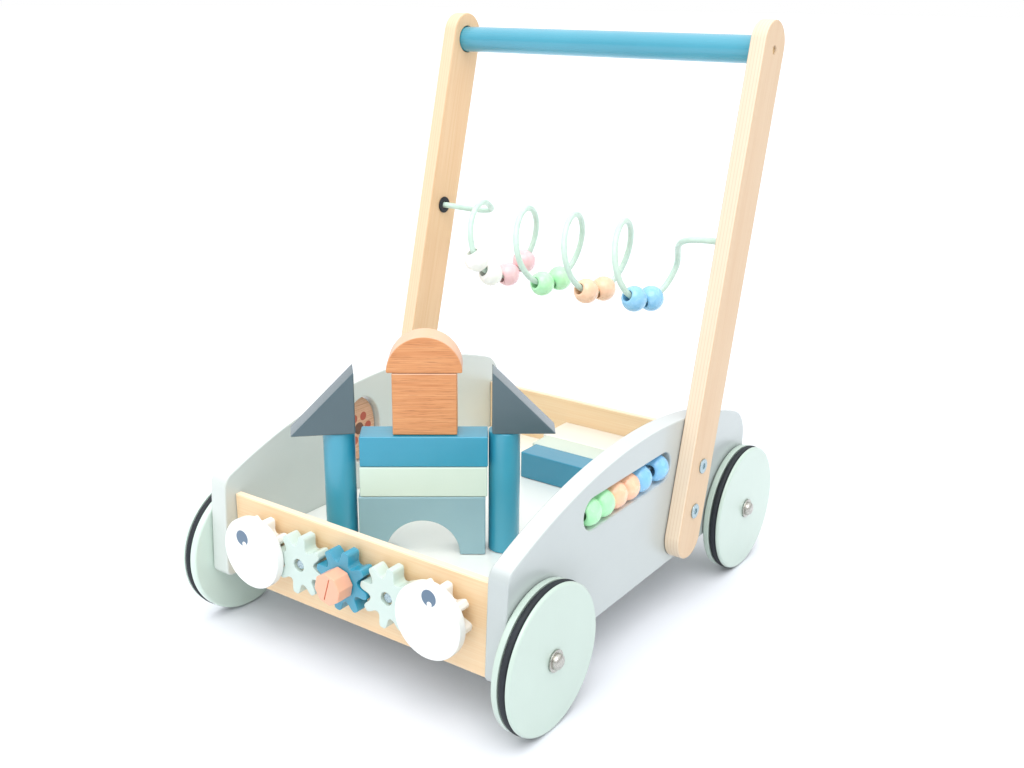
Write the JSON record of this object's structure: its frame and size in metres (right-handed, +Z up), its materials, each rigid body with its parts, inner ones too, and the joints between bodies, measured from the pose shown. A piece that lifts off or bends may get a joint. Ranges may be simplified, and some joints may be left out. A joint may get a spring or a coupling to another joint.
{
  "type": "baby activity walker",
  "caption": "Wooden push-along baby walker: wheeled tray with curved sides, leaning handle, meshing gears, sliding beads, spinner and building blocks.",
  "frame": {"origin": "on the ground under the middle of the wheelbase, half way between the sides", "axes": "+X to the right seen from the front, +Y towards the handle end (the front faces -Y), +Z up"},
  "size_m": [0.2996, 0.3818, 0.4273],
  "materials": {
    "panel_grey_paint": "satin paint",
    "floor_white_paint": "satin paint",
    "birch_ply": "clear matt varnish",
    "natural_beech": "clear matt varnish",
    "mint_paint": "satin paint",
    "handle_blue_paint": "satin paint",
    "gear_blue_paint": "satin paint",
    "block_blue_paint": "satin paint",
    "slate_paint": "satin paint",
    "arch_blue_paint": "satin paint",
    "coral_paint": "satin paint",
    "white_paint": "satin paint",
    "nickel_steel": "nickel plated",
    "black_rubber": "matt",
    "wire_mint_coating": "smooth plastic coating",
    "bead_white_gloss": "gloss lacquer",
    "bead_pink_gloss": "gloss lacquer",
    "bead_green_gloss": "gloss lacquer",
    "bead_orange_gloss": "gloss lacquer",
    "bead_blue_gloss": "gloss lacquer"
  },
  "bodies": {
    "frame": {"side_panel_left": "panel_grey_paint", "side_panel_right": "panel_grey_paint", "front_board": "birch_ply", "rear_board": "birch_ply", "floor_board": "floor_white_paint", "upright_left": "birch_ply", "upright_right": "birch_ply", "handle_bar": "handle_blue_paint", "axle_front": "nickel_steel", "axle_rear": "nickel_steel", "slot_rod": "nickel_steel", "spinner_pin": "nickel_steel", "grommet_left": "black_rubber", "grommet_right": "black_rubber", "bead_wire": "wire_mint_coating"},
    "wheel_front_left": {"wheel_front_left": "mint_paint", "tyre_front_left": "black_rubber"},
    "wheel_front_right": {"wheel_front_right": "mint_paint", "tyre_front_right": "black_rubber"},
    "wheel_rear_left": {"wheel_rear_left": "mint_paint", "tyre_rear_left": "black_rubber"},
    "wheel_rear_right": {"wheel_rear_right": "mint_paint", "tyre_rear_right": "black_rubber"},
    "gear_eye_left": {"gear_eye_left": "white_paint", "eye_disc_left": "white_paint"},
    "gear_mint_left": {"gear_mint_left": "mint_paint"},
    "gear_centre": {"gear_centre": "gear_blue_paint", "beak": "coral_paint"},
    "gear_mint_right": {"gear_mint_right": "mint_paint"},
    "gear_eye_right": {"gear_eye_right": "white_paint", "eye_disc_right": "white_paint"},
    "spinner": {"spinner_disc": "natural_beech"},
    "wire_bead_white_1": {"wire_bead_white_1": "bead_white_gloss"},
    "wire_bead_white_2": {"wire_bead_white_2": "bead_white_gloss"},
    "wire_bead_pink_1": {"wire_bead_pink_1": "bead_pink_gloss"},
    "wire_bead_pink_2": {"wire_bead_pink_2": "bead_pink_gloss"},
    "wire_bead_green_1": {"wire_bead_green_1": "bead_green_gloss"},
    "wire_bead_green_2": {"wire_bead_green_2": "bead_green_gloss"},
    "wire_bead_orange_1": {"wire_bead_orange_1": "bead_orange_gloss"},
    "wire_bead_orange_2": {"wire_bead_orange_2": "bead_orange_gloss"},
    "wire_bead_blue_1": {"wire_bead_blue_1": "bead_blue_gloss"},
    "wire_bead_blue_2": {"wire_bead_blue_2": "bead_blue_gloss"},
    "slot_bead_green_1": {"slot_bead_green_1": "bead_green_gloss"},
    "slot_bead_green_2": {"slot_bead_green_2": "bead_green_gloss"},
    "slot_bead_orange_1": {"slot_bead_orange_1": "bead_orange_gloss"},
    "slot_bead_orange_2": {"slot_bead_orange_2": "bead_orange_gloss"},
    "slot_bead_blue_1": {"slot_bead_blue_1": "bead_blue_gloss"},
    "slot_bead_blue_2": {"slot_bead_blue_2": "bead_blue_gloss"},
    "block_arch": {"block_arch": "arch_blue_paint"},
    "block_plank_mint": {"block_plank_mint": "mint_paint"},
    "block_plank_blue": {"block_plank_blue": "block_blue_paint"},
    "block_square": {"block_square": "natural_beech"},
    "block_half_round": {"block_half_round": "natural_beech"},
    "block_column_left": {"block_column_left": "block_blue_paint"},
    "block_triangle_left": {"block_triangle_left": "slate_paint"},
    "block_column_right": {"block_column_right": "block_blue_paint"},
    "block_triangle_right": {"block_triangle_right": "slate_paint"},
    "block_rear_blue": {"block_rear_blue": "block_blue_paint"},
    "block_rear_mint": {"block_rear_mint": "mint_paint"},
    "block_rear_white": {"block_rear_white": "white_paint"}
  },
  "joints": [
    {"name": "wheel_front_left_spin", "type": "hinge", "parent": "frame", "child": "wheel_front_left", "pos_m": [-0.1376, -0.1405, 0.05041], "axis": [1, 0, 0], "continuous": true},
    {"name": "wheel_front_right_spin", "type": "hinge", "parent": "frame", "child": "wheel_front_right", "pos_m": [0.1376, -0.1405, 0.05041], "axis": [1, 0, 0], "continuous": true},
    {"name": "wheel_rear_left_spin", "type": "hinge", "parent": "frame", "child": "wheel_rear_left", "pos_m": [-0.1376, 0.1405, 0.05041], "axis": [1, 0, 0], "continuous": true},
    {"name": "wheel_rear_right_spin", "type": "hinge", "parent": "frame", "child": "wheel_rear_right", "pos_m": [0.1376, 0.1405, 0.05041], "axis": [1, 0, 0], "continuous": true},
    {"name": "gear_eye_left_turn", "type": "hinge", "parent": "frame", "child": "gear_eye_left", "pos_m": [-0.078, -0.1717, 0.07501], "axis": [0, 1, 0], "continuous": true},
    {"name": "gear_mint_left_turn", "type": "hinge", "parent": "frame", "child": "gear_mint_left", "pos_m": [-0.039, -0.1717, 0.07501], "axis": [0, 1, 0], "continuous": true},
    {"name": "gear_centre_turn", "type": "hinge", "parent": "frame", "child": "gear_centre", "pos_m": [0, -0.1717, 0.07501], "axis": [0, 1, 0], "continuous": true},
    {"name": "gear_mint_right_turn", "type": "hinge", "parent": "frame", "child": "gear_mint_right", "pos_m": [0.039, -0.1717, 0.07501], "axis": [0, 1, 0], "continuous": true},
    {"name": "gear_eye_right_turn", "type": "hinge", "parent": "frame", "child": "gear_eye_right", "pos_m": [0.078, -0.1717, 0.07501], "axis": [0, 1, 0], "continuous": true},
    {"name": "spinner_turn", "type": "hinge", "parent": "frame", "child": "spinner", "pos_m": [-0.1225, -0.0265, 0.11], "axis": [0, 0, 1], "continuous": true},
    {"name": "wire_bead_white_1_slide_round", "type": "hinge", "parent": "frame", "child": "wire_bead_white_1", "pos_m": [-0.08186, 0.10852, 0.24807], "axis": [0.9709, -0.1035, 0.2161], "range_deg": [-30, 0]},
    {"name": "wire_bead_white_2_slide_round", "type": "hinge", "parent": "frame", "child": "wire_bead_white_2", "pos_m": [-0.07718, 0.10773, 0.24889], "axis": [0.9709, -0.2127, 0.1105], "range_deg": [-30, 0]},
    {"name": "wire_bead_pink_1_slide_round", "type": "hinge", "parent": "frame", "child": "wire_bead_pink_1", "pos_m": [-0.0725, 0.1066, 0.24907], "axis": [0.9709, -0.2364, -0.0396], "range_deg": [0, 30]},
    {"name": "wire_bead_pink_2_slide_round", "type": "hinge", "parent": "frame", "child": "wire_bead_pink_2", "pos_m": [-0.06782, 0.1056, 0.24853], "axis": [0.9709, -0.1651, -0.1737], "range_deg": [0, 30]},
    {"name": "wire_bead_green_1_slide_round", "type": "hinge", "parent": "frame", "child": "wire_bead_green_1", "pos_m": [-0.02982, 0.10732, 0.24904], "axis": [0.9709, -0.233, 0.0563], "range_deg": [-30, 0]},
    {"name": "wire_bead_green_2_slide_round", "type": "hinge", "parent": "frame", "child": "wire_bead_green_2", "pos_m": [-0.02514, 0.10619, 0.24894], "axis": [0.9709, -0.22, -0.0951], "range_deg": [0, 30]},
    {"name": "wire_bead_orange_1_slide_round", "type": "hinge", "parent": "frame", "child": "wire_bead_orange_1", "pos_m": [0.01478, 0.10756, 0.24897], "axis": [0.9709, -0.223, 0.0878], "range_deg": [-30, 0]},
    {"name": "wire_bead_orange_2_slide_round", "type": "hinge", "parent": "frame", "child": "wire_bead_orange_2", "pos_m": [0.01946, 0.10642, 0.24903], "axis": [0.9709, -0.231, -0.0639], "range_deg": [0, 30]},
    {"name": "wire_bead_blue_1_slide_round", "type": "hinge", "parent": "frame", "child": "wire_bead_blue_1", "pos_m": [0.0597, 0.10771, 0.2489], "axis": [0.9709, -0.2138, 0.1083], "range_deg": [-30, 0]},
    {"name": "wire_bead_blue_2_slide_round", "type": "hinge", "parent": "frame", "child": "wire_bead_blue_2", "pos_m": [0.06438, 0.10659, 0.24906], "axis": [0.9709, -0.236, -0.0419], "range_deg": [0, 30]},
    {"name": "slot_bead_green_1_slide", "type": "slide", "parent": "frame", "child": "slot_bead_green_1", "axis": [0, 1, 0], "range_m": [-0.0024, 0.0075]},
    {"name": "slot_bead_green_2_slide", "type": "slide", "parent": "frame", "child": "slot_bead_green_2", "axis": [0, 1, 0], "range_m": [-0.0024, 0.0075]},
    {"name": "slot_bead_orange_1_slide", "type": "slide", "parent": "frame", "child": "slot_bead_orange_1", "axis": [0, 1, 0], "range_m": [-0.0024, 0.0075]},
    {"name": "slot_bead_orange_2_slide", "type": "slide", "parent": "frame", "child": "slot_bead_orange_2", "axis": [0, 1, 0], "range_m": [-0.0024, 0.0075]},
    {"name": "slot_bead_blue_1_slide", "type": "slide", "parent": "frame", "child": "slot_bead_blue_1", "axis": [0, 1, 0], "range_m": [-0.0024, 0.0075]},
    {"name": "slot_bead_blue_2_slide", "type": "slide", "parent": "frame", "child": "slot_bead_blue_2", "axis": [0, 1, 0], "range_m": [0, 0.002]},
    {"name": "block_arch_lift", "type": "slide", "parent": "frame", "child": "block_arch", "axis": [0, 0, 1], "range_m": [0, 0.1]},
    {"name": "block_plank_mint_lift", "type": "slide", "parent": "block_arch", "child": "block_plank_mint", "axis": [0, 0, 1], "range_m": [0, 0.1]},
    {"name": "block_plank_blue_lift", "type": "slide", "parent": "block_plank_mint", "child": "block_plank_blue", "axis": [0, 0, 1], "range_m": [0, 0.1]},
    {"name": "block_square_lift", "type": "slide", "parent": "block_plank_blue", "child": "block_square", "axis": [0, 0, 1], "range_m": [0, 0.1]},
    {"name": "block_half_round_lift", "type": "slide", "parent": "block_square", "child": "block_half_round", "axis": [0, 0, 1], "range_m": [0, 0.1]},
    {"name": "block_column_left_lift", "type": "slide", "parent": "frame", "child": "block_column_left", "axis": [0, 0, 1], "range_m": [0, 0.1]},
    {"name": "block_triangle_left_lift", "type": "slide", "parent": "block_column_left", "child": "block_triangle_left", "axis": [0, 0, 1], "range_m": [0, 0.1]},
    {"name": "block_column_right_lift", "type": "slide", "parent": "frame", "child": "block_column_right", "axis": [0, 0, 1], "range_m": [0, 0.1]},
    {"name": "block_triangle_right_lift", "type": "slide", "parent": "block_column_right", "child": "block_triangle_right", "axis": [0, 0, 1], "range_m": [0, 0.1]},
    {"name": "block_rear_blue_lift", "type": "slide", "parent": "frame", "child": "block_rear_blue", "axis": [0, 0, 1], "range_m": [0, 0.1]},
    {"name": "block_rear_mint_lift", "type": "slide", "parent": "frame", "child": "block_rear_mint", "axis": [0, 0, 1], "range_m": [0, 0.1]},
    {"name": "block_rear_white_lift", "type": "slide", "parent": "frame", "child": "block_rear_white", "axis": [0, 0, 1], "range_m": [0, 0.1]}
  ],
  "couplings": [
    {"joint": "gear_eye_left_turn", "follows": "gear_centre_turn", "ratio": 1},
    {"joint": "gear_mint_left_turn", "follows": "gear_centre_turn", "ratio": -1},
    {"joint": "gear_mint_right_turn", "follows": "gear_centre_turn", "ratio": -1},
    {"joint": "gear_eye_right_turn", "follows": "gear_centre_turn", "ratio": 1},
    {"joint": "wire_bead_white_1_slide_round", "follows": "wire_bead_white_2_slide_round", "ratio": 1},
    {"joint": "wire_bead_pink_2_slide_round", "follows": "wire_bead_pink_1_slide_round", "ratio": 1},
    {"joint": "slot_bead_green_2_slide", "follows": "slot_bead_green_1_slide", "ratio": 1},
    {"joint": "slot_bead_orange_1_slide", "follows": "slot_bead_green_1_slide", "ratio": 1},
    {"joint": "slot_bead_orange_2_slide", "follows": "slot_bead_green_1_slide", "ratio": 1},
    {"joint": "slot_bead_blue_1_slide", "follows": "slot_bead_green_1_slide", "ratio": 1}
  ]
}
